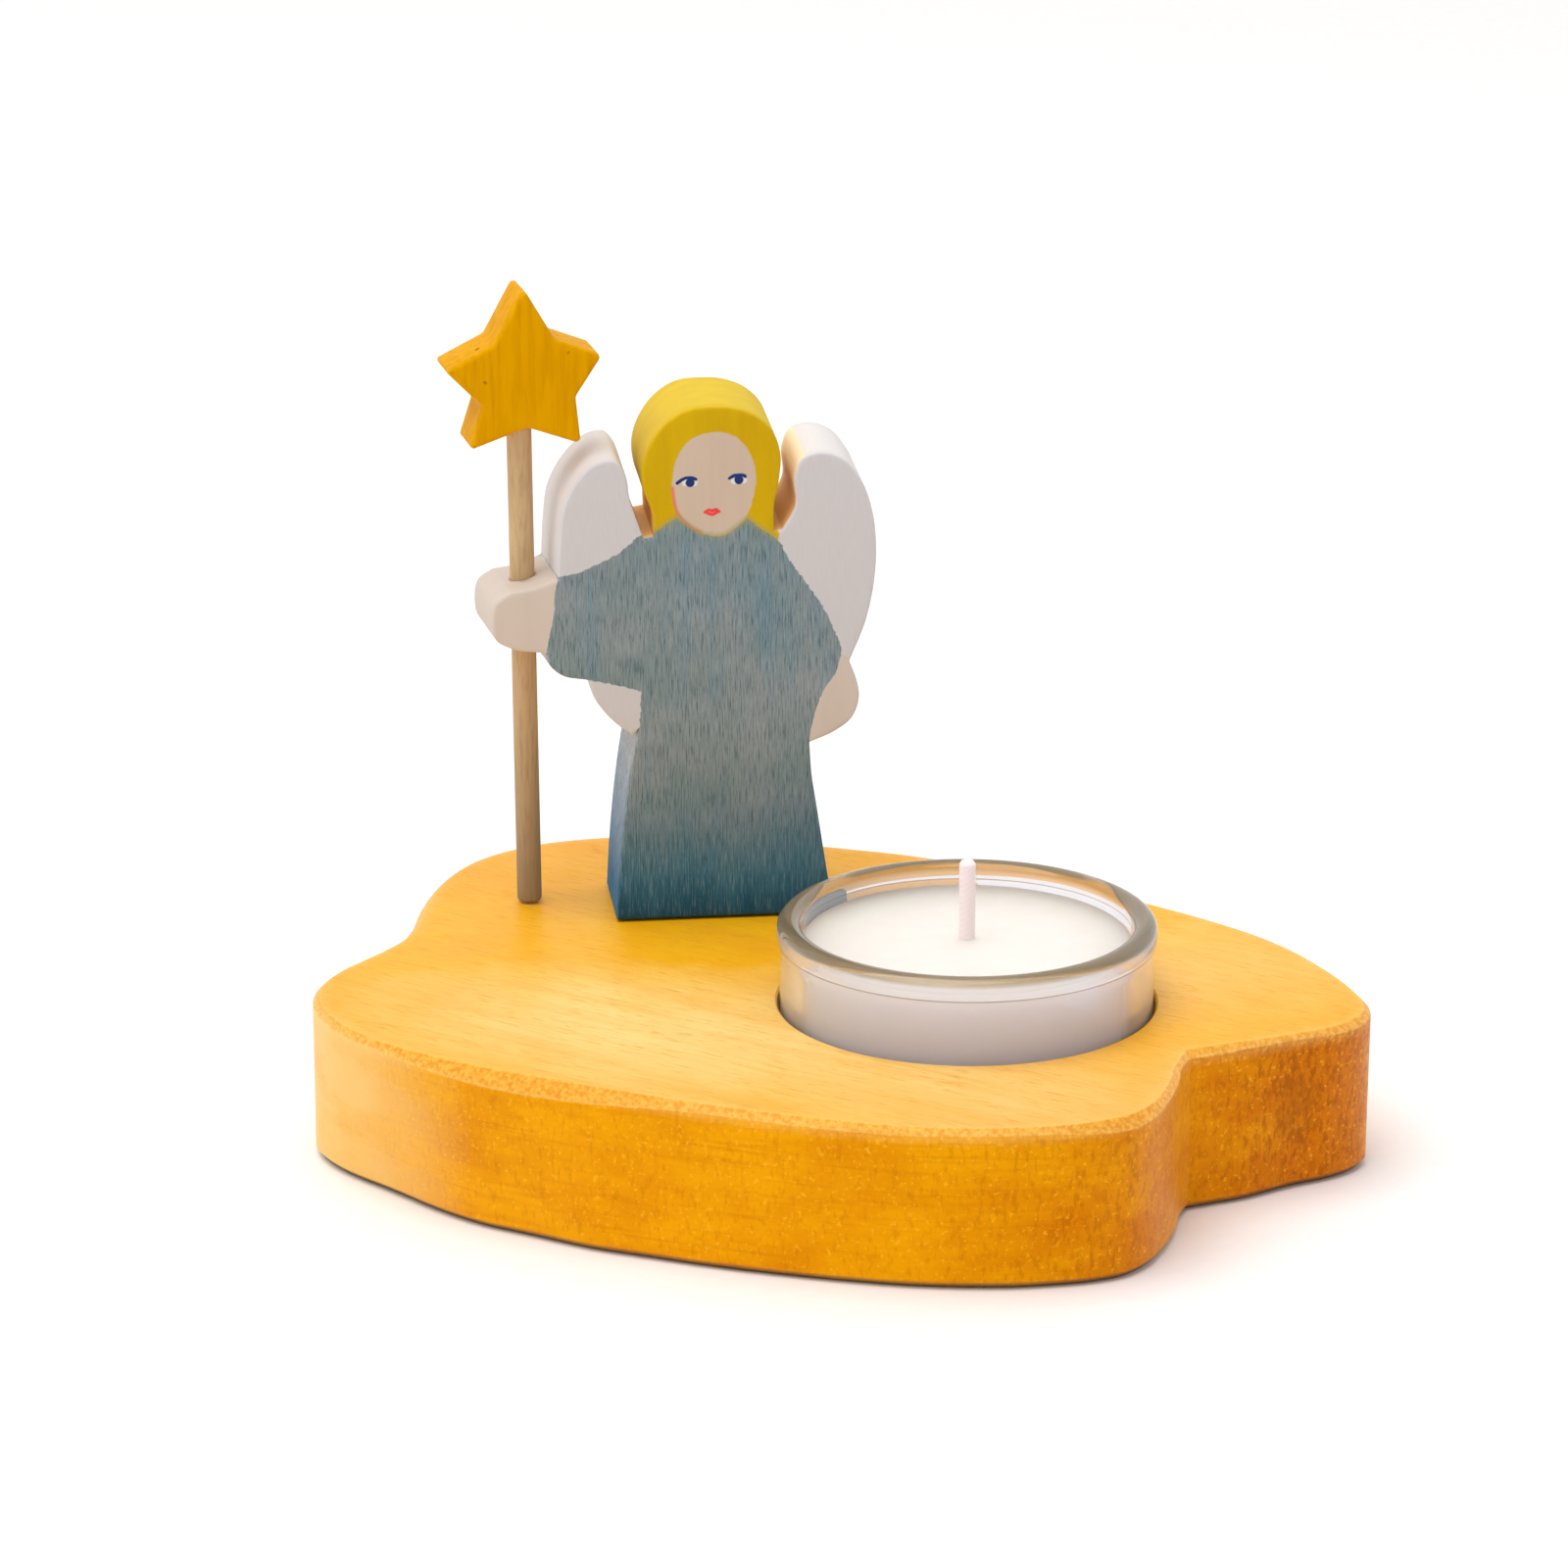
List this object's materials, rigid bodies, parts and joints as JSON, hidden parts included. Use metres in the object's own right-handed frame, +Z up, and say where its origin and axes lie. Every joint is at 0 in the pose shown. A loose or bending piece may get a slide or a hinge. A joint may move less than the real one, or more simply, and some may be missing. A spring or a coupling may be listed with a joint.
{
  "type": "angel candle holder",
  "caption": "Wooden tealight holder: a lobed board with a glass cup in its recess, and a flat painted angel holding a star on a staff.",
  "frame": {"origin": "under the middle of the board, on the surface it stands on", "axes": "+Z up; +X along the figure's front, to the right as the figure is looked at; the figure's painted front faces -Y"},
  "size_m": [0.1229, 0.1076, 0.0975],
  "materials": {
    "stained_board": "amber-stained, satin varnish",
    "painted_figure": "thin matt paint, brushed",
    "dowel": "natural beech, unvarnished",
    "painted_star": "yellow paint, satin",
    "glass": "clear pressed glass",
    "wax": "white paraffin wax",
    "wick": "waxed braided cotton",
    "tinplate": "tinned sheet"
  },
  "bodies": {
    "root": {"base_board": "stained_board", "angel_figure": "painted_figure", "staff": "dowel", "star": "painted_star", "tealight_glass": "glass", "candle_wax": "wax", "wick": "wick", "wick_sustainer": "tinplate"}
  },
  "joints": []
}
